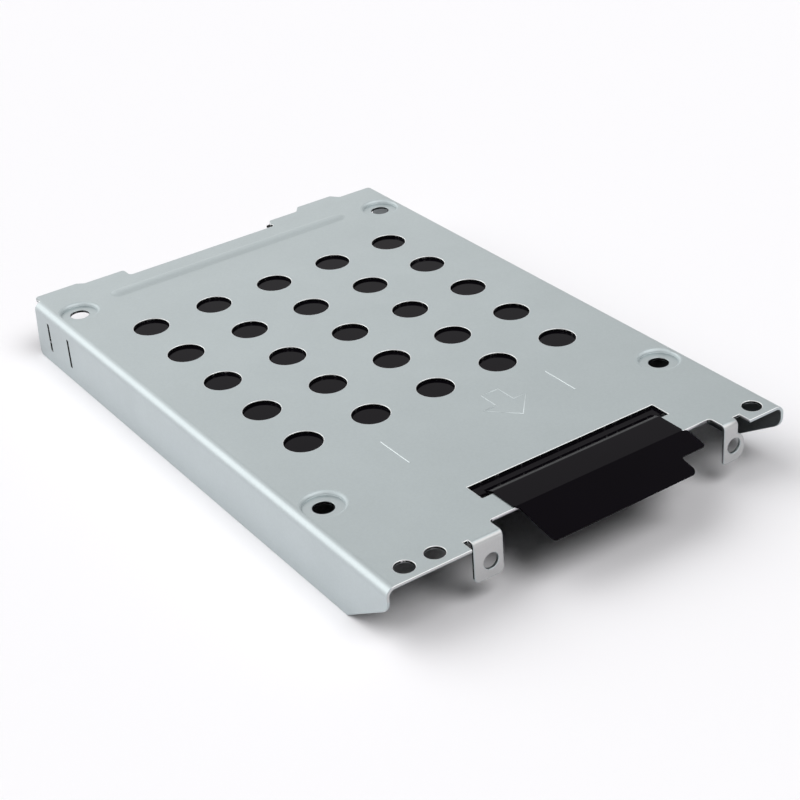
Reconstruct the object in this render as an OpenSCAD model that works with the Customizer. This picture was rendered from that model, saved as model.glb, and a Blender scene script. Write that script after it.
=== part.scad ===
// Drive caddy for a 2.5 inch laptop drive: one folded steel tray that is screwed
// over the drive, and the black insulating film that lines its underside and
// comes up through the front slot. Lengths are in millimetres. The origin is the
// middle of the four drive screws, on the floor of the dimples that their heads
// seat in. +Z is up, and the front with the two fixing tabs faces -Y.

/* [Sheet] */
// Thickness of the steel sheet
sheet_t = 0.5; // [0.4:0.05:0.8]
// Inside radius of the bends between the plate and the flanges
bend_r = 1; // [0.6:0.1:1.1]

/* [Tray] */
// Width over the two flanges
tray_w = 71; // [70.9:0.1:74]
// Height of the flanges with the plate
tray_h = 10.2; // [9.4:0.1:14]
// From the middle of the drive screws to the front edge
front_reach = 60.4; // [59.4:0.1:66]
// From the middle of the drive screws to the rear edge
rear_reach = 47.5; // [46.5:0.5:56]
// Radius on the small outer corners of the sheet
corner_r = 0.6; // [0.3:0.1:0.8]

/* [Drive screws] */
// Spacing of the drive screws across the tray
screw_dx = 61.72; // [60.5:0.01:61.8]
// Spacing of the drive screws along the tray
screw_dy = 76.6; // [75:0.1:77]
// Clearance hole for a drive screw
screw_hole_d = 3.2; // [3.1:0.1:3.6]
// Width of the dimple round a screw
dimple_d = 7.2; // [7:0.1:7.6]
// Width of the flat floor of the dimple
dimple_floor_d = 5.8; // [5.2:0.1:5.9]
// Depth of the dimple
dimple_depth = 0.6; // [0.6:0.1:0.9]
// Radius of the rounded shoulder of the dimple
dimple_r = 0.6; // [0.3:0.05:0.6]

/* [Vents] */
// Diameter of a vent hole
vent_d = 5.95; // [4:0.05:7]
// Vent holes across the tray
vent_cols = 5; // [1:1:5]
// Vent holes along the tray
vent_rows = 5; // [1:1:5]
// Spacing of the vents across the tray
vent_pitch_x = 11.94; // [9:0.1:12]
// Spacing of the vents along the tray
vent_pitch_y = 11.86; // [9:0.1:14]
// Middle of the vents, to the side of the screw pattern
vent_x = -0.27; // [-1:0.01:1]
// Middle of the vents, ahead of or behind the screw pattern
vent_y = 1.19; // [-1:0.01:3]

/* [Stiffening rib] */
// Length of the raised rib at the rear
rib_len = 48; // [30:1:52]
// Width of the rib at its foot
rib_w = 3.1; // [2.4:0.1:3.6]
// Height of the rib above the plate
rib_h = 0.3; // [0.2:0.05:0.6]
// From the rib's middle line to the rear edge
rib_inset = 7.5; // [6:0.1:8.5]

/* [Rear edge] */
// Depth of the wide recess in the rear edge
recess_depth = 2.5; // [1.5:0.1:3]
// Width of the recess at its bottom
recess_w = 28.9; // [20:0.1:30]
// Middle of the recess, to the side of the screw pattern
recess_x = -3.25; // [-4:0.05:0]
// Radius of the relief nick in the recess corner
nick_r = 0.5; // [0.3:0.05:0.6]
// Run of the slopes at the right end of the recess and at the ends of the lugs
slope_run = 1.2; // [0.6:0.1:1.6]
// Reach of the left lug past the rear edge
left_lug_reach = 0.9; // [0.4:0.1:2]
// From the side to the left lug, on the bend
left_lug_side = 1.05; // [0.8:0.05:1.4]
// Width of the left lug, up to the middle of its slope
left_lug_w = 8.5; // [4:0.1:10]
// Reach of the right lug past the rear edge
right_lug_reach = 1.6; // [0.8:0.1:3]
// Width of the right lug
right_lug_w = 8.5; // [6:0.1:10]
// Middle of the right lug, to the side of the screw pattern
right_lug_x = 23.1; // [20:0.1:26]

/* [Flanges] */
// Height of the square part of the flange's front end
nose_drop = 3.5; // [2.8:0.1:4]
// Radius of the rounded nose under it
nose_r = 2.6; // [1:0.1:2.8]
// Length of the slope from the nose to the bottom edge
slope_len = 10.5; // [6:0.1:16]
// Radius on the lower corners of the flange
flange_corner_r = 1; // [0.5:0.1:1.5]
// Forward lean of the left flange's rear end, from its foot up to the plate
heel_lean = 1; // [0.4:0.1:1.6]
// Height of the two narrow slits
slit_h = 5.3; // [3:0.1:6]
// Width of a slit
slit_w = 0.7; // [0.3:0.05:0.8]
// From the top face to the top of the slits
slit_drop = 2.25; // [1.5:0.05:2.5]
// From the rear edge to the first slit
slit_inset = 5.65; // [4:0.05:10]
// Spacing of the two slits
slit_pitch = 7.6; // [4:0.05:12]

/* [Front strip and slot] */
// From the front edge back to the front of the strip
strip_setback = 4.1; // [3.6:0.1:5]
// Width of the strip in front of the slot
strip_w = 4.85; // [4:0.05:6.5]
// Width of the slot, along the tray
slot_w = 3.55; // [2.8:0.05:4]
// Length of the slot, across the tray
slot_len = 34.2; // [33.5:0.1:36]
// Middle of the slot, to the side of the screw pattern
slot_x = 3.9; // [3.4:0.05:4.5]

/* [Locating holes] */
// Diameter of the locating holes in the front corners
locating_d = 3; // [2:0.1:3.2]
// From the front edge to the locating holes
locating_inset = 2.7; // [2.5:0.1:4]
// From the side to the outer hole at the left
locating_left_side = 4.8; // [4:0.1:5]
// Spacing of the two holes at the left
locating_pitch = 4.93; // [4.6:0.01:6]
// From the side to the hole at the right
locating_right_side = 3.87; // [3.8:0.01:4.6]

/* [Fixing tabs] */
// Inside radius of the bends between the plate and the tabs
tab_bend_r = 0.3; // [0.2:0.1:0.5]
// From the front edge back to the face of the tabs
tab_setback = 1; // [0.8:0.1:2]
// From the top face to the bottom of the tabs
tab_h = 6.7; // [5.5:0.1:8]
// From the top face to the screw holes in the tabs
tab_hole_drop = 4.05; // [3.4:0.05:4.2]
// Diameter of the screw holes in the tabs
tab_hole_d = 2.5; // [2:0.1:2.8]
// Radius on the corners of the tabs
tab_corner_r = 0.8; // [0.4:0.1:1]
// Place of the left tab's hole, to the side of the screw pattern
left_tab_x = -17.9; // [-19:0.1:-17]
// From the left tab's hole out to its left edge
left_tab_out = 2.85; // [2:0.05:2.9]
// From the left tab's hole to its right edge
left_tab_in = 2.1; // [1.8:0.1:3]
// Place of the right tab's hole, to the side of the screw pattern
right_tab_x = 26.6; // [26:0.1:26.8]
// Radius of the round ear at the right tab's hole
right_tab_r = 2; // [1.8:0.1:2.1]
// Width of the right tab's neck
right_neck_w = 2.7; // [2:0.05:3]
// Width of the slit between the left tab and the plate
left_relief_w = 0.85; // [0.4:0.05:1.2]
// Width of the slit between the right tab and the plate
right_relief_w = 1.35; // [0.4:0.05:1.6]
// Run of those two slits past the start of the bend
relief_over = 0.4; // [0.1:0.1:0.8]
// Fillets between the tabs and the strip
neck_fillet_r = 0.6; // [0.3:0.1:0.8]

/* [Insulating film] */
// Thickness of the film
film_t = 0.2; // [0.1:0.05:0.3]
// From the start of the flange bends to the side edges of the film
film_side_gap = 0.3; // [0.1:0.1:2]
// From the plate's rear edge to the film's rear edge
film_rear_gap = 0.5; // [0.3:0.1:1]
// From the strip back to the film's front edge beside the flap
film_front_gap = 1.35; // [0.6:0.05:1.6]
// Radius on the film's corners
film_corner_r = 1.2; // [0.6:0.1:2]
// Clearance round the dimples
film_dimple_gap = 0.8; // [0.3:0.1:1.2]
// From the slot's left end to the flap
flap_left_gap = 1.85; // [0.5:0.05:3]
// From the slot's right end to the flap
flap_right_gap = 1.65; // [0.5:0.05:3]
// Slope of the film where it climbs onto the strip
ramp_deg = 20; // [16:1:30]
// Droop of the loose front of the flap
droop_deg = 11; // [0:1:30]
// Reach of the loose front of the flap
droop_len = 8.1; // [6:0.1:9]
// Sideways shift of the loose front against the rest of the flap
front_shift = 0.5; // [0:0.05:0.8]
// Reach of its wider stretch
shoulder_len = 4.4; // [2:0.05:5]
// Step in at the right, past that stretch
shoulder_step = 4.8; // [2:0.1:8]
// Radius of the folds in the film
fold_r = 0.5; // [0.3:0.1:0.8]

/* [Hidden] */
$fn = 64;
ARC_STEPS = 6;

// Overrun of every cut past the face that it goes through
cut_over = 1;

// Share of the right tab's round ear that rounds its lower corner
ear_corner_share = 0.8;

// Tray. Its modules draw it with the plate's top face at zero height.
plate_z = dimple_depth;
half_w = tray_w / 2;
outer_r = bend_r + sheet_t;
boss_r = dimple_d / 2 - dimple_r + sheet_t;
flat_x = half_w - outer_r;
tip_y = rear_reach + max(left_lug_reach, right_lug_reach);
front_y = -front_reach;
strip_y = front_y + strip_setback;
slot_near_y = strip_y + strip_w;
slot_far_y = slot_near_y + slot_w;
slot_left_x = slot_x - slot_len / 2;
slot_right_x = slot_x + slot_len / 2;
left_lug_x0 = -half_w + left_lug_side;
left_lug_x1 = left_lug_x0 + left_lug_w;
recess_y = rear_reach - recess_depth;
recess_left_x = recess_x - recess_w / 2;
recess_right_x = recess_x + recess_w / 2;
rib_y = rear_reach - rib_inset;
locating_y = front_y + locating_inset;

// Tabs
tab_outer_r = tab_bend_r + sheet_t;
tab_face_y = front_y + tab_setback;
tab_bend_y = tab_face_y + tab_outer_r;
relief_y = tab_bend_y + relief_over;
left_tab_x0 = left_tab_x - left_tab_out;
left_tab_x1 = left_tab_x + left_tab_in;
neck_x0 = right_tab_x - right_tab_r;
neck_x1 = neck_x0 + right_neck_w;

// Film. Heights are those of the middle of its thickness.
film_low_z = -sheet_t - film_t / 2;
film_high_z = film_t / 2;
film_half_w = flat_x - film_side_gap;
film_front_y = slot_near_y + film_front_gap;
flap_x0 = slot_left_x + flap_left_gap;
flap_x1 = slot_right_x - flap_right_gap;
ramp_run = (film_high_z - film_low_z) / tan(ramp_deg);
ramp_top_y = slot_near_y + fold_r * tan(ramp_deg / 2) + film_t / 2;
flap_end_y = strip_y - droop_len * cos(droop_deg);
flap_end_z = film_high_z - droop_len * sin(droop_deg);
shoulder_y = strip_y - shoulder_len * cos(droop_deg);

// Unit vector from a to b
function toward(a, b) = (b - a) / norm(b - a);

// Difference of two angles, between -180 and 180 degrees
function turn(a0, a1) = let(d = a1 - a0) d > 180 ? d - 360 : d < -180 ? d + 360 : d;

// Arc of radius r that rounds the corner c between the points p and n
function corner_arc(p, c, n, r) = let(
        u = toward(c, p),
        v = toward(c, n),
        half = acos(max(-1, min(1, u * v))) / 2,
        mid = c + (u + v) / norm(u + v) * r / sin(half),
        start = c + u * r / tan(half) - mid,
        stop = c + v * r / tan(half) - mid,
        a0 = atan2(start[1], start[0]),
        da = turn(a0, atan2(stop[1], stop[0])))
    [for (k = [0:ARC_STEPS]) mid + r * [cos(a0 + da * k / ARC_STEPS), sin(a0 + da * k / ARC_STEPS)]];

// Outline through points [x, y, radius], with each corner rounded by its radius
function rounded(pts) = let(n = len(pts), at = [for (p = pts) [p[0], p[1]]])
    [for (i = [0:n - 1])
        each (pts[i][2] > 0
            ? corner_arc(at[(i + n - 1) % n], at[i], at[(i + 1) % n], pts[i][2])
            : [at[i]])];

// Open path through points, with the inner ones rounded by radius r
function rounded_path(pts, r) = let(last = len(pts) - 1)
    concat([pts[0]],
        [for (i = [1:last - 1]) each corner_arc(pts[i - 1], pts[i], pts[i + 1], r)],
        [pts[last]]);

// Direction of a path at its point i
function heading(path, i) = let(last = len(path) - 1)
    toward(path[max(i - 1, 0)], path[min(i + 1, last)]);

// Path moved sideways by d
function beside(path, d) =
    [for (i = [0:len(path) - 1]) let(h = heading(path, i)) path[i] + d * [-h[1], h[0]]];

// Closed outline of a band of thickness t along a path
function band(path, t) = let(left = beside(path, t / 2), right = beside(path, -t / 2))
    concat(left, [for (i = [len(right) - 1:-1:0]) right[i]]);

// Block between two corners
module block(from, to) {
    translate(from) cube(to - from);
}

// Round bar along X between x0 and x1, at [y, z]
module bar_x(at, d, x0, x1) {
    translate([x0, at[0], at[1]]) rotate([0, 90, 0]) cylinder(d = d, h = x1 - x0);
}

// Outline in the YZ plane, extruded along X between x0 and x1
module across(x0, x1) {
    translate([x0, 0, 0]) rotate([90, 0, 90]) linear_extrude(x1 - x0) children();
}

// Places of the four drive screws
module at_screws() {
    for (x = [-screw_dx / 2, screw_dx / 2], y = [-screw_dy / 2, screw_dy / 2])
        translate([x, y, 0]) children();
}

// Section of the tray: a plate with a flange down each side
module channel_section(w, h, r) {
    translate([-w / 2 + r, -r]) square([w - 2 * r, r]);
    translate([-w / 2, -h]) square([w, h - r]);
    for (side = [-1, 1]) translate([side * (w / 2 - r), -r]) circle(r);
}

module channel() {
    length = front_reach + tip_y;
    translate([0, tip_y, 0]) rotate([90, 0, 0]) difference() {
        linear_extrude(length) channel_section(tray_w, tray_h, outer_r);
        translate([0, -sheet_t, -cut_over]) linear_extrude(length + 2 * cut_over)
            channel_section(tray_w - 2 * sheet_t, tray_h, bend_r);
    }
}

// Sloped step of the rear edge: past x, its reach beyond the plate's rear edge goes from r0 to r1
function slope(x, r0, r1) = [
    [x - slope_run / 2, rear_reach + r0, corner_r],
    [x + slope_run / 2, rear_reach + r1, corner_r],
];

// Plan of the bent tray, seen from above
module plan() {
    rear = concat(
        [[-half_w, rear_reach, 0], [left_lug_x0, rear_reach, 0]],
        [[left_lug_x0, rear_reach + left_lug_reach, corner_r]],
        slope(left_lug_x1, left_lug_reach, 0),
        [[recess_left_x, rear_reach, corner_r], [recess_left_x, recess_y, corner_r]],
        slope(recess_right_x + slope_run / 2, -recess_depth, 0),
        slope(right_lug_x - right_lug_w / 2, 0, right_lug_reach),
        slope(right_lug_x + right_lug_w / 2, right_lug_reach, 0),
        [[half_w, rear_reach, 0]]);
    front = [
        [half_w, front_y, 0],
        [neck_x1 + right_relief_w, front_y, 0],
        [neck_x1 + right_relief_w, relief_y, 0],
        [neck_x1, relief_y, 0],
        [neck_x1, tab_bend_y, 0],
        [neck_x0, tab_bend_y, 0],
        [neck_x0, strip_y, neck_fillet_r],
        [left_tab_x1, strip_y, neck_fillet_r],
        [left_tab_x1, tab_bend_y, 0],
        [left_tab_x0, tab_bend_y, 0],
        [left_tab_x0, relief_y, 0],
        [left_tab_x0 - left_relief_w, relief_y, 0],
        [left_tab_x0 - left_relief_w, front_y, 0],
        [-half_w, front_y, 0],
    ];
    difference() {
        polygon(rounded(concat(rear, front)));
        translate([recess_right_x + nick_r / 2, recess_y + nick_r]) circle(nick_r);
    }
}

// What is cut from the front ends of the flanges
module nose_cut() {
    low_z = -tray_h - cut_over;
    slope_y = front_y + slope_len;
    out_y = front_y - cut_over;
    nose = corner_arc([front_y, 0], [front_y, -nose_drop], [slope_y, -tray_h], nose_r);
    foot = corner_arc([front_y, -nose_drop], [slope_y, -tray_h], [0, -tray_h], flange_corner_r);
    across(-half_w - cut_over, half_w + cut_over)
        polygon(concat([[out_y, 0], [front_y, 0]], nose, foot,
            [foot[ARC_STEPS] - [0, cut_over], [out_y, low_z]]));
}

// What is cut from the rear end of the flange between x0 and x1, which leans forward by lean
module heel_cut(x0, x1, lean) {
    out_y = tip_y + cut_over;
    heel_y = rear_reach - lean;
    heel = corner_arc([heel_y, 0], [rear_reach, -tray_h], [0, -tray_h], flange_corner_r);
    across(x0, x1)
        polygon(concat([[out_y, cut_over], [heel_y, cut_over], [heel_y, 0]], heel,
            [heel[ARC_STEPS] - [0, cut_over], [out_y, -tray_h - cut_over]]));
}

// Two narrow slits near the rear of each flange
module flange_slits() {
    for (side = [-1, 1], k = [0, 1]) {
        y = rear_reach - slit_inset - k * slit_pitch;
        x = side * (half_w - sheet_t / 2);
        translate([x, y, -slit_drop - slit_h / 2]) cube([2 * outer_r, slit_w, slit_h], center = true);
    }
}

// Raised rib: its outer skin, or the groove under it when skin is the sheet thickness
module rib_form(skin) {
    full_r = (rib_w * rib_w / 4 + rib_h * rib_h) / (2 * rib_h);
    r = full_r - skin;
    end_x = rib_len / 2 - rib_w / 2;
    mid_z = rib_h - full_r;
    bar_x([rib_y, mid_z], 2 * r, -end_x, end_x);
    for (x = [-end_x, end_x]) translate([x, rib_y, mid_z]) sphere(r);
}

module rib_skin() {
    intersection() {
        rib_form(0);
        block([-rib_len, rib_y - rib_w, -sheet_t], [rib_len, rib_y + rib_w, rib_h + cut_over]);
    }
}

module rib_groove() {
    intersection() {
        rib_form(sheet_t);
        block([-rib_len, rib_y - rib_w, -sheet_t - cut_over], [rib_len, rib_y + rib_w, rib_h]);
    }
}

// Quarter circle of radius r round mid, from angle a0 on
function quarter(mid, r, a0) =
    [for (k = [0:ARC_STEPS]) mid + r * [cos(a0 + 90 * k / ARC_STEPS), sin(a0 + 90 * k / ARC_STEPS)]];

// Boss that a dimple presses out under the plate
module dimple_boss() {
    low_z = -sheet_t - dimple_depth;
    rim = quarter([boss_r - sheet_t, low_z + sheet_t], sheet_t, -90);
    rotate_extrude() polygon(concat([[0, low_z]], rim, [[boss_r, -sheet_t / 2], [0, -sheet_t / 2]]));
}

// Hollow of a dimple, with its screw hole
module dimple_recess() {
    shoulder = quarter([dimple_d / 2, -dimple_r], dimple_r, 90);
    rotate_extrude() polygon(concat([[0, cut_over], [dimple_d / 2, cut_over]], shoulder,
        [[dimple_floor_d / 2, -dimple_depth], [0, -dimple_depth]]));
    translate([0, 0, -dimple_depth - sheet_t - cut_over])
        cylinder(d = screw_hole_d, h = dimple_depth + sheet_t + 2 * cut_over);
}

module through_hole(x, y, d) {
    translate([x, y, -sheet_t - cut_over]) cylinder(d = d, h = sheet_t + 2 * cut_over);
}

module vents() {
    for (i = [0:vent_cols - 1], j = [0:vent_rows - 1])
        through_hole(
            vent_x + (i - (vent_cols - 1) / 2) * vent_pitch_x,
            vent_y + (j - (vent_rows - 1) / 2) * vent_pitch_y,
            vent_d);
}

module locating_holes() {
    through_hole(-half_w + locating_left_side, locating_y, locating_d);
    through_hole(-half_w + locating_left_side + locating_pitch, locating_y, locating_d);
    through_hole(half_w - locating_right_side, locating_y, locating_d);
}

module slot() {
    block([slot_left_x, slot_near_y, -sheet_t - cut_over], [slot_right_x, slot_far_y, cut_over]);
}

// Quarter bend from the plate down into a tab
module tab_bend(x0, x1) {
    intersection() {
        difference() {
            bar_x([tab_bend_y, -tab_outer_r], 2 * tab_outer_r, x0, x1);
            bar_x([tab_bend_y, -tab_outer_r], 2 * tab_bend_r, x0 - cut_over, x1 + cut_over);
        }
        block([x0, tab_face_y, -tab_outer_r], [x1, tab_bend_y, 0]);
    }
}

// Upright face of a tab, from its outline in the XZ plane
module tab_face() {
    translate([0, tab_face_y + sheet_t, 0]) rotate([90, 0, 0]) linear_extrude(sheet_t) children();
}

module left_tab() {
    tab_bend(left_tab_x0, left_tab_x1);
    tab_face() difference() {
        polygon(rounded([
            [left_tab_x0, -tab_outer_r, 0],
            [left_tab_x0, -tab_h, tab_corner_r],
            [left_tab_x1, -tab_h, tab_corner_r],
            [left_tab_x1, -tab_outer_r, 0],
        ]));
        translate([left_tab_x, -tab_hole_drop]) circle(d = tab_hole_d);
    }
}

module right_tab() {
    ear_x1 = right_tab_x + right_tab_r;
    tab_bend(neck_x0, neck_x1);
    tab_face() difference() {
        union() {
            translate([neck_x0, -tab_hole_drop]) square([right_neck_w, tab_hole_drop - tab_outer_r]);
            translate([right_tab_x, -tab_hole_drop]) circle(right_tab_r);
            polygon(rounded([
                [neck_x0, -tab_hole_drop, 0],
                [neck_x0, -tab_h, tab_corner_r / 2],
                [ear_x1, -tab_h, right_tab_r * ear_corner_share],
                [ear_x1, -tab_hole_drop, 0],
            ]));
        }
        translate([right_tab_x, -tab_hole_drop]) circle(d = tab_hole_d);
    }
}

module caddy_tray() {
    color("#b6bfc1") translate([0, 0, plate_z]) {
        difference() {
            union() {
                intersection() {
                    channel();
                    translate([0, 0, -tray_h - cut_over]) linear_extrude(tray_h + 2 * cut_over) plan();
                }
                rib_skin();
                at_screws() dimple_boss();
            }
            nose_cut();
            heel_cut(-half_w - cut_over, left_lug_x0, heel_lean);
            heel_cut(flat_x, half_w + cut_over, 0);
            flange_slits();
            rib_groove();
            at_screws() dimple_recess();
            vents();
            locating_holes();
            slot();
        }
        left_tab();
        right_tab();
    }
}

// Film under the plate, cut back round the dimples
module film_lining() {
    wing_y = rear_reach - film_rear_gap;
    middle_y = recess_y - film_rear_gap;
    outline = [
        [-film_half_w, film_front_y, film_corner_r],
        [film_half_w, film_front_y, film_corner_r],
        [film_half_w, wing_y, film_corner_r],
        [recess_right_x, wing_y, corner_r],
        [recess_right_x, middle_y, corner_r],
        [recess_left_x - film_rear_gap, middle_y, corner_r],
        [recess_left_x - film_rear_gap, wing_y, corner_r],
        [-film_half_w, wing_y, film_corner_r],
    ];
    translate([0, 0, -sheet_t - film_t]) difference() {
        linear_extrude(film_t) polygon(rounded(outline));
        at_screws() translate([0, 0, -cut_over])
            cylinder(r = boss_r + film_dimple_gap, h = film_t + 2 * cut_over);
    }
}

// Side view of the flap: up through the slot, over the strip and loose in front
function flap_path() = rounded_path([
        [slot_far_y + slot_w, film_low_z],
        [ramp_top_y + ramp_run, film_low_z],
        [ramp_top_y, film_high_z],
        [strip_y, film_high_z],
        [flap_end_y, flap_end_z],
    ], fold_r);

// Plan of the flap, with a small nick at each end of its front fold
module flap_plan() {
    back_y = slot_far_y + slot_w;
    loose_y = strip_y - front_shift;
    loose_x0 = flap_x0 + front_shift;
    loose_x1 = flap_x1 + front_shift;
    step_x = loose_x1 - shoulder_step;
    difference() {
        polygon(rounded([
            [flap_x0, back_y, 0],
            [flap_x0, strip_y, 0],
            [loose_x0, loose_y, 0],
            [loose_x0, flap_end_y, corner_r],
            [step_x, flap_end_y, film_corner_r],
            [step_x, shoulder_y, corner_r],
            [loose_x1, shoulder_y, corner_r],
            [loose_x1, loose_y, 0],
            [flap_x1, strip_y, 0],
            [flap_x1, back_y, 0],
        ]));
        for (x = [flap_x0, flap_x1]) translate([x, strip_y]) circle(film_t);
    }
}

module film_flap() {
    low_z = flap_end_z - cut_over;
    intersection() {
        across(flap_x0 - cut_over, flap_x1 + cut_over) polygon(band(flap_path(), film_t));
        translate([0, 0, low_z]) linear_extrude(film_high_z + cut_over - low_z) flap_plan();
    }
}

module insulator_film() {
    color("#1d1b20") translate([0, 0, plate_z]) {
        film_lining();
        film_flap();
    }
}

caddy_tray();
insulator_film();
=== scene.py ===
"""Looks of the laptop drive caddy: a folded zinc-plated steel tray with its black insulating film."""

import math

import bmesh
import bpy
from mathutils import Matrix, Vector


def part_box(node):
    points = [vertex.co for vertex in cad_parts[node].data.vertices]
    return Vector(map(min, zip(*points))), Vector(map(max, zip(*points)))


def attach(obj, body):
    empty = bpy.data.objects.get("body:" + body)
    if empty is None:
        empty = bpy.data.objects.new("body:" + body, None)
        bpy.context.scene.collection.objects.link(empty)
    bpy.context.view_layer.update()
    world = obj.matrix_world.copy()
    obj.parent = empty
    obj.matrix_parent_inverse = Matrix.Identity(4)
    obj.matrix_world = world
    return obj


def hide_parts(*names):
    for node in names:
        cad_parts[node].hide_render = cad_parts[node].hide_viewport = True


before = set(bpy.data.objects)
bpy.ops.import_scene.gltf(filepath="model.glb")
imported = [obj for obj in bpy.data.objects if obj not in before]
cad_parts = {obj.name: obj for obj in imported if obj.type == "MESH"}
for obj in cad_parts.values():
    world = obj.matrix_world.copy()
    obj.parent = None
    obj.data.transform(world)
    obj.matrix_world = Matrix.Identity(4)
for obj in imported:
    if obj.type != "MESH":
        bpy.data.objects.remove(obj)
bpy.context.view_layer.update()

MM = 0.001

# Camera, solved from the four drive screws and the 25 vents
CAMERA_SPOT = Vector((-132.89, -219.05, 137.60)) * MM
CAMERA_TURN = math.radians(32.67)
CAMERA_DIP = math.radians(30.35)
CAMERA_ROLL = math.radians(-4.30)
CAMERA_LENS = 80.70
CAMERA_SENSOR = 36.0
CAMERA_CLIP = (0.01, 20.0)

# Floor
FLOOR_R = 6.0
FLOOR_SEGMENTS = 64
FLOOR_TONE = (0.95, 0.94, 0.96)

# Studio, all in the world: levels of what the camera sees, of the light on matt surfaces
# and of what shiny surfaces mirror
WORLD_SEEN = 1.0
LIGHT_LEVEL = 0.02
GLOSS_LEVEL = 1.07

# What they mirror is dimmer to the right, overhead and to the front: where along its axis
# the change starts and ends, and the share that is left
DIM_RIGHT = (0.42, 0.9, 0.55)
DIM_ABOVE = (0.5, 0.85, 0.4)
DIM_FRONT = (-0.3, 0.3, 0.75)

# Soft round windows, one to the left and one to the front each: direction, reach in degrees and level
LIGHT_WINDOWS = (((-0.51, 0.52, 0.69), 48, 2.78), ((0.16, -0.51, 0.845), 26, 5.35))
GLOSS_WINDOWS = (((-0.52, 0.73, 0.44), 36, 0.72), ((0.42, -0.30, 0.86), 46, 0.85))

# Tray: heights and places of its forms, from the middle of the drive screws
PLATE_Z = 0.6 * MM
SHEET_T = 0.5 * MM
BEND_OUT = 1.5 * MM
FLANGE_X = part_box("caddy_tray")[1].x - BEND_OUT
STRIP_Y = -56.3 * MM
REAR_Y = 44 * MM
SLIT_Z = (-8 * MM, -1 * MM)
RIB_X = 25 * MM
RIB_Y = (38.2 * MM, 41.8 * MM)
SCREW_X = 30.86 * MM
SCREW_Y = 38.3 * MM
DIMPLE_R = (2.6 * MM, 3.8 * MM)
SHORT_W = 1.5 * MM

# Mark on the plate: a block arrow to the front between two ticks
MARK_R = 0.12 * MM
MARK_PROUD = 0.05 * MM
MARK_ROUNDNESS = 2
ARROW = ((3.4, -29.2), (3.4, -33.0), (1.0, -33.0), (5.0, -37.4), (9.0, -33.0), (6.6, -33.0), (6.6, -29.2))
TICKS = (((15.4, -29.7), (15.4, -37.0)), ((-15.6, -30.1), (-15.6, -37.5)))

# Rounding of the edges: faces that turn by more than SHARP_TURN get a rounded edge between them
MERGE_D = 0.001 * MM
FLAT_TURN = math.radians(0.5)
SHARP_TURN = math.radians(35)
EDGE_R = 0.1 * MM
FILM_EDGE_R = 0.03 * MM
EDGE_SEGMENTS = 2

# Kinds of faces of the tray, in the order of its materials; KEPT leaves a rounded edge its neighbour's
SKIN, CUT, WALL, SHOULDER, TAB, INSIDE, RIB, RIM = range(8)
KEPT = -1

# Shares of a face's direction along an axis: it looks that way clearly, slightly, fully or hardly
CLEARLY = 0.3
SLIGHTLY = 0.15
FULLY = 0.99
HARDLY = 0.02

# Colors of the steel
ZINC = (0.485, 0.535, 0.545)
TAB_ZINC = (0.51, 0.515, 0.515)
# Painted shade: the insides of the flanges and the plate's underside get a much darker zinc than the
# outside
PAINTED_SHADE_ZINC = (0.17, 0.185, 0.19)
SHEARED = (0.64, 0.63, 0.66)
TORN = (0.30, 0.29, 0.30)
# Painted highlight: the rounded rims at the plate's top are much lighter than the zinc
RIM_HIGHLIGHT = (0.80, 0.82, 0.82)
EMBOSSED = (0.74, 0.80, 0.81)
SPECK = (1.0, 0.98, 1.0)

# Steel: scale and detail of its noises, and what they change; TORN starts SHEAR_H below the plate's top
STEEL_CLOUDS = (55.0, 4.0)
STEEL_GRAIN = (2600.0, 2.0)
STEEL_SHEEN = (140.0, 3.0)
STEEL_BUMPS = (1800.0, 2.0)
CLOUD_SHADES = (0.975, 1.02)
GRAIN = 0.02
ROUGH_SPREAD = 0.03
BUMP_STRENGTH = 0.25
BUMP_H = 0.01 * MM
SHEAR_H = 0.25 * MM
FADE_H = 0.1 * MM

# Walls of the punched holes and the slits: painted shade, nearly black, with sparse lighter specks
WALL_ROUGH = 0.45
WALL_SPECKS = (1500.0, 2.0)
SPECK_START = 0.60
SPECK_FULL = 0.68
# Level of the painted shade, then of the specks
WALL_SHADE_AND_SPECK = (0.02, 0.5)

# Film
FILM_BLACK = (0.0018, 0.0012, 0.0024)
FILM_CLOUDS = (90.0, 3.0)
FILM_SHEEN = (70.0, 3.0)
FILM_SHADES = (0.85, 1.15)
FILM_ROUGH = (0.06, 0.1)
FILM_SPECULAR = 0.048
FILM_SHINE = (0.97, 0.86, 1.0)

# Noise: roughness, and the middle range that holds most of its values
NOISE_ROUGH = 0.55
NOISE_RANGE = (0.3, 0.7)

# Sockets of a Mix node set to vectors
VECTOR_A = 4
VECTOR_B = 5
VECTOR_OUT = 1


def material(name):
    mat = bpy.data.materials.new(name)
    mat.use_nodes = True
    mat.node_tree.nodes.clear()
    return mat


def add(owner, kind, **values):
    """New node of a material or the world, with its properties and its sockets' values set by name."""
    node = owner.node_tree.nodes.new(kind)
    for name, value in values.items():
        if hasattr(node, name):
            setattr(node, name, value)
        else:
            node.inputs[name.replace("_", " ")].default_value = value
    return node


def link(owner, source, output, target, socket):
    owner.node_tree.links.new(source.outputs[output], target.inputs[socket])


def number(source):
    """Name of the output that holds a node's number."""
    return "Result" if "Result" in source.outputs else "Value"


def mapped(owner, source, output, values, results, interpolation="LINEAR"):
    """Goes from one result to the other as the source goes from one value to the other."""
    node = add(owner, "ShaderNodeMapRange", interpolation_type=interpolation)
    node.inputs["From Min"].default_value = values[0]
    node.inputs["From Max"].default_value = values[1]
    node.inputs["To Min"].default_value = results[0]
    node.inputs["To Max"].default_value = results[1]
    link(owner, source, output, node, "Value")
    return node


def math_of(owner, operation, first, second):
    node = add(owner, "ShaderNodeMath", operation=operation)
    link(owner, first, number(first), node, 0)
    link(owner, second, number(second), node, 1)
    return node


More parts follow.
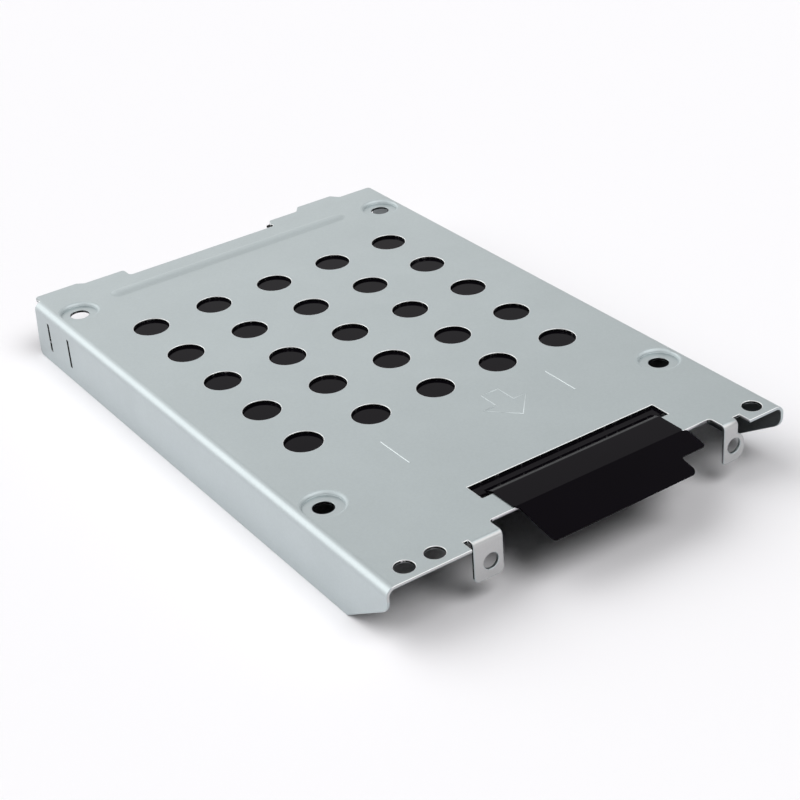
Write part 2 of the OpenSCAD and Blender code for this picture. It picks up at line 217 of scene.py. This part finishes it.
def make_camera():
    forward = Vector((
        math.sin(CAMERA_TURN) * math.cos(CAMERA_DIP),
        math.cos(CAMERA_TURN) * math.cos(CAMERA_DIP),
        -math.sin(CAMERA_DIP)))
    level = Vector((math.cos(CAMERA_TURN), -math.sin(CAMERA_TURN), 0))
    upright = level.cross(forward)
    right = level * math.cos(CAMERA_ROLL) + upright * math.sin(CAMERA_ROLL)
    up = right.cross(forward)
    turned = Matrix((right, up, -forward)).transposed().to_4x4()
    data = bpy.data.cameras.new("camera")
    data.lens = CAMERA_LENS
    data.sensor_width = CAMERA_SENSOR
    data.clip_start, data.clip_end = CAMERA_CLIP
    camera = bpy.data.objects.new("camera", data)
    camera.matrix_world = Matrix.Translation(CAMERA_SPOT) @ turned
    bpy.context.scene.collection.objects.link(camera)
    bpy.context.scene.camera = camera


def floor_material():
    mat = material("floor_white")
    out = add(mat, "ShaderNodeOutputMaterial")
    matte = add(mat, "ShaderNodeBsdfDiffuse", Color=(*FLOOR_TONE, 1))
    link(mat, matte, "BSDF", out, "Surface")
    return mat


def make_floor():
    mesh = bpy.data.meshes.new("floor")
    bm = bmesh.new()
    bmesh.ops.create_circle(bm, cap_ends=True, radius=FLOOR_R, segments=FLOOR_SEGMENTS)
    bm.to_mesh(mesh)
    bm.free()
    floor = bpy.data.objects.new("floor", mesh)
    floor.location.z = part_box("caddy_tray")[0].z
    bpy.context.scene.collection.objects.link(floor)
    mesh.materials.append(floor_material())


def fixed(world, value):
    node = add(world, "ShaderNodeValue")
    node.outputs[0].default_value = value
    return node


def dimmed(world, parts, axis, start, end, results):
    """Soft change of the world's level along an axis."""
    return mapped(world, parts, axis, (start, end), results, "SMOOTHSTEP")


def window(world, way, towards, reach, level):
    """Soft round brightening of the world about a direction."""
    node = add(world, "ShaderNodeVectorMath", operation="DOT_PRODUCT")
    link(world, way, "Generated", node, 0)
    node.inputs[1].default_value = Vector(towards).normalized()
    rim = math.cos(math.radians(reach))
    return mapped(world, node, "Value", (rim, 1.0), (0.0, level), "SMOOTHSTEP")


def with_windows(world, way, level, windows):
    """A level of the world with soft windows added to it."""
    for lit in windows:
        level = math_of(world, "ADD", level, window(world, way, *lit))
    return level


def choose(world, is_kind, ray, otherwise, then):
    """then for rays of one kind, otherwise for the rest."""
    node = add(world, "ShaderNodeMix", data_type="FLOAT")
    link(world, ray, is_kind, node, "Factor")
    link(world, otherwise, number(otherwise), node, "A")
    link(world, then, number(then), node, "B")
    return node


def mirrored(world, way):
    """What shiny surfaces mirror."""
    parts = add(world, "ShaderNodeSeparateXYZ")
    link(world, way, "Generated", parts, "Vector")
    right = dimmed(world, parts, "X", *DIM_RIGHT[:2], (GLOSS_LEVEL, GLOSS_LEVEL * DIM_RIGHT[2]))
    above = dimmed(world, parts, "Z", *DIM_ABOVE[:2], (1.0, DIM_ABOVE[2]))
    front = dimmed(world, parts, "Y", *DIM_FRONT[:2], (DIM_FRONT[2], 1.0))
    gloss = math_of(world, "MULTIPLY", math_of(world, "MULTIPLY", right, above), front)
    return with_windows(world, way, gloss, GLOSS_WINDOWS)


def make_world():
    world = bpy.data.worlds.new("studio")
    bpy.context.scene.world = world
    world.use_nodes = True
    world.node_tree.nodes.clear()
    out = add(world, "ShaderNodeOutputWorld")
    ray = add(world, "ShaderNodeLightPath")
    way = add(world, "ShaderNodeTexCoord")
    light = with_windows(world, way, fixed(world, LIGHT_LEVEL), LIGHT_WINDOWS)
    shine = choose(world, "Is Glossy Ray", ray, light, mirrored(world, way))
    level = choose(world, "Is Camera Ray", ray, shine, fixed(world, WORLD_SEEN))
    glow = add(world, "ShaderNodeBackground", Color=(1, 1, 1, 1))
    link(world, level, "Result", glow, "Strength")
    link(world, glow, "Background", out, "Surface")


def noise(mat, where, scale, detail):
    node = add(mat, "ShaderNodeTexNoise", Scale=scale, Detail=detail, Roughness=NOISE_ROUGH)
    link(mat, where, "Object", node, "Vector")
    return node


def varied(mat, where, size, results):
    """Number that a noise takes from the first result to the second."""
    return mapped(mat, noise(mat, where, *size), "Fac", NOISE_RANGE, results)


def tint(mat, color, shade):
    """color times the number that the node shade gives."""
    node = add(mat, "ShaderNodeVectorMath", operation="SCALE")
    node.inputs[0].default_value = color
    link(mat, shade, number(shade), node, "Scale")
    return node


def layered(mat, where, shade, height, color):
    """The node shade's color, and another one below a height."""
    heights = add(mat, "ShaderNodeSeparateXYZ")
    link(mat, where, "Object", heights, "Vector")
    high = mapped(mat, heights, "Z", (height - FADE_H, height), (0.0, 1.0), "SMOOTHSTEP")
    node = add(mat, "ShaderNodeMix", data_type="VECTOR")
    link(mat, high, "Result", node, "Factor")
    node.inputs[VECTOR_A].default_value = color
    link(mat, shade, "Vector", node, VECTOR_B)
    return node


def steel_material(name, color, roughness, grain=GRAIN, below=None):
    """Zinc-plated steel: a fine grain, small bumps and soft clouds.

    below gives a height and the color that the steel has under it."""
    mat = material(name)
    where = add(mat, "ShaderNodeTexCoord")
    clouds = varied(mat, where, STEEL_CLOUDS, CLOUD_SHADES)
    fine = varied(mat, where, STEEL_GRAIN, (1.0 - grain, 1.0 + grain))
    rough = varied(mat, where, STEEL_SHEEN, (roughness - ROUGH_SPREAD, roughness + ROUGH_SPREAD))
    bump = add(mat, "ShaderNodeBump", Strength=BUMP_STRENGTH, Distance=BUMP_H)
    link(mat, noise(mat, where, *STEEL_BUMPS), "Fac", bump, "Height")
    out = add(mat, "ShaderNodeOutputMaterial")
    skin = add(mat, "ShaderNodeBsdfPrincipled", Metallic=1.0)
    shade = tint(mat, color, math_of(mat, "MULTIPLY", clouds, fine))
    if below:
        link(mat, layered(mat, where, shade, *below), VECTOR_OUT, skin, "Base Color")
    else:
        link(mat, shade, "Vector", skin, "Base Color")
    link(mat, rough, "Result", skin, "Roughness")
    link(mat, bump, "Normal", skin, "Normal")
    link(mat, skin, "BSDF", out, "Surface")
    return mat


def painted_shade_wall():
    """Walls of the punched holes and the slits: painted shade, nearly black, with sparse lighter specks.
    """
    mat = material("hole_wall_painted_shade")
    where = add(mat, "ShaderNodeTexCoord")
    specks = noise(mat, where, *WALL_SPECKS)
    shade = mapped(mat, specks, "Fac", (SPECK_START, SPECK_FULL), WALL_SHADE_AND_SPECK, "SMOOTHSTEP")
    out = add(mat, "ShaderNodeOutputMaterial")
    skin = add(mat, "ShaderNodeBsdfPrincipled", Metallic=1.0, Roughness=WALL_ROUGH)
    link(mat, tint(mat, SPECK, shade), "Vector", skin, "Base Color")
    link(mat, skin, "BSDF", out, "Surface")
    return mat


def film_material():
    """Black polyester film: smooth, with slight clouds and a weak shine."""
    mat = material("black_polyester_film")
    where = add(mat, "ShaderNodeTexCoord")
    clouds = varied(mat, where, FILM_CLOUDS, FILM_SHADES)
    rough = varied(mat, where, FILM_SHEEN, FILM_ROUGH)
    out = add(mat, "ShaderNodeOutputMaterial")
    skin = add(mat, "ShaderNodeBsdfPrincipled")
    skin.inputs["Specular IOR Level"].default_value = FILM_SPECULAR
    skin.inputs["Specular Tint"].default_value = (*FILM_SHINE, 1)
    link(mat, tint(mat, FILM_BLACK, clouds), "Vector", skin, "Base Color")
    link(mat, rough, "Result", skin, "Roughness")
    link(mat, skin, "BSDF", out, "Surface")
    return mat


def tray_materials():
    """The steel of each kind of face, in the order from SKIN to RIM."""
    return [
        steel_material("zinc_plated_steel", ZINC, 0.36),
        steel_material("sheared_steel_edge", SHEARED, 0.30, grain=0.05, below=(PLATE_Z - SHEAR_H, TORN)),
        painted_shade_wall(),
        steel_material("pressed_steel", ZINC, 0.60),
        steel_material("tab_steel", TAB_ZINC, 0.36),
        # painted shade on the insides of the flanges and the undersides
        steel_material("inside_painted_shade", PAINTED_SHADE_ZINC, 0.42),
        steel_material("rib_steel", ZINC, 0.47),
        # painted highlight on the rounded rims at the plate's top, with zinc below them
        steel_material("painted_highlight_rim", RIM_HIGHLIGHT, 0.34, grain=0.03, below=(PLATE_Z - EDGE_R, ZINC)),
    ]


def level_length(face):
    """Length of a face's longest level edge, or 0 without one."""
    level = [edge for edge in face.edges if abs(edge.verts[0].co.z - edge.verts[1].co.z) < EDGE_R]
    return max((edge.calc_length() for edge in level), default=0.0)


def from_screw(spot):
    """Distance of a point from the nearest screw's axis."""
    return math.hypot(abs(spot.x) - SCREW_X, abs(spot.y) - SCREW_Y)


def in_slit(spot):
    """True for a point at the height of the slits in the bends and flanges."""
    return abs(spot.x) > FLANGE_X and SLIT_Z[0] < spot.z < SLIT_Z[1] and abs(spot.y) < REAR_Y


def tray_kind(face):
    """Kind of a face of the tray, from where it is and which way it looks."""
    spot = face.calc_center_median()
    way = face.normal
    in_flange = abs(spot.x) > FLANGE_X
    inward = way.x * spot.x < 0 and abs(way.x) > CLEARLY and spot.z < PLATE_Z - SHEET_T
    downward = way.z < -CLEARLY and spot.z > -BEND_OUT
    # Inside faces of the flanges and the undersides take the painted shade
    if (in_flange and inward) or downward:
        return INSIDE
    if in_flange:
        # Slit walls take the painted shade
        return WALL if abs(way.x) < CLEARLY and in_slit(spot) else SKIN
    at_front = spot.y < STRIP_Y and way.y < -SLIGHTLY and spot.z < PLATE_Z - EDGE_R
    if at_front and level_length(face) > SHORT_W:
        return CUT if spot.z > PLATE_Z - SHEET_T and way.y < -FULLY else TAB
    if abs(way.z) < HARDLY:
        in_hole = STRIP_Y + EDGE_R < spot.y < REAR_Y
        # Hole walls and short upright faces take the painted shade, the outer edges stay sheared steel
        return WALL if in_hole or level_length(face) < SHORT_W else CUT
    if abs(spot.x) < RIB_X and RIB_Y[0] < spot.y < RIB_Y[1]:
        return RIB
    return SHOULDER if DIMPLE_R[0] < from_screw(spot) < DIMPLE_R[1] else SKIN


def stays_crisp(edge):
    """True for the edges of the slits and of the dimples' shoulders, which stay sharp and get no painted
    highlight rim.
    """
    middle = (edge.verts[0].co + edge.verts[1].co) / 2
    return DIMPLE_R[0] < from_screw(middle) < DIMPLE_R[1] + EDGE_R or in_slit(middle)


def softened(node, name, materials, edge_r, kind=None, crisp=None, rim=KEPT):
    """Copy of a CAD node with its sharp edges rounded, which stands for it.

    kind gives a face's material, crisp an edge that isn't rounded and rim the rounded edges' material."""
    bm = bmesh.new()
    bm.from_mesh(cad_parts[node].data)
    bmesh.ops.remove_doubles(bm, verts=bm.verts, dist=MERGE_D)
    bmesh.ops.dissolve_limit(bm, angle_limit=FLAT_TURN, verts=bm.verts, edges=bm.edges)
    for face in bm.faces:
        face.smooth = True
        face.material_index = kind(face) if kind else 0
    weight = bm.edges.layers.float.new("bevel_weight_edge")
    for edge in bm.edges:
        sharp = edge.calc_face_angle(0.0) > SHARP_TURN
        edge[weight] = 1.0 if sharp and not (crisp and crisp(edge)) else 0.0
    mesh = bpy.data.meshes.new(name)
    bm.to_mesh(mesh)
    bm.free()
    for mat in materials:
        mesh.materials.append(mat)
    piece = bpy.data.objects.new(name, mesh)
    bpy.context.scene.collection.objects.link(piece)
    soften = piece.modifiers.new("edges", "BEVEL")
    soften.width = edge_r
    soften.segments = EDGE_SEGMENTS
    soften.limit_method = "WEIGHT"
    soften.use_clamp_overlap = False
    soften.harden_normals = False
    soften.material = rim
    flat = piece.modifiers.new("normals", "WEIGHTED_NORMAL")
    flat.keep_sharp = False
    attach(piece, "root")
    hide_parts(node)
    return piece


def make_tray():
    tray = softened("caddy_tray", "steel_tray", tray_materials(), EDGE_R, tray_kind, stays_crisp, RIM)


def make_film():
    film = softened("insulator_film", "film_sheet", [film_material()], FILM_EDGE_R)


def make_mark():
    """Raised lines: round curves sunk into the plate until they stand MARK_PROUD above it."""
    data = bpy.data.curves.new("mark", "CURVE")
    data.dimensions = "3D"
    data.bevel_depth = MARK_R
    data.bevel_resolution = MARK_ROUNDNESS
    for line in (ARROW, *TICKS):
        path = data.splines.new("POLY")
        path.points.add(len(line) - 1)
        path.use_cyclic_u = line is ARROW
        for point, (x, y) in zip(path.points, line):
            point.co = (x * MM, y * MM, PLATE_Z - MARK_R + MARK_PROUD, 1)
    data.materials.append(steel_material("embossed_line", EMBOSSED, 0.40))
    mark = bpy.data.objects.new("mark", data)
    bpy.context.scene.collection.objects.link(mark)
    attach(mark, "root")


make_camera()
make_floor()
make_world()
make_tray()
make_film()
make_mark()
bpy.context.scene.view_settings.view_transform = "Standard"
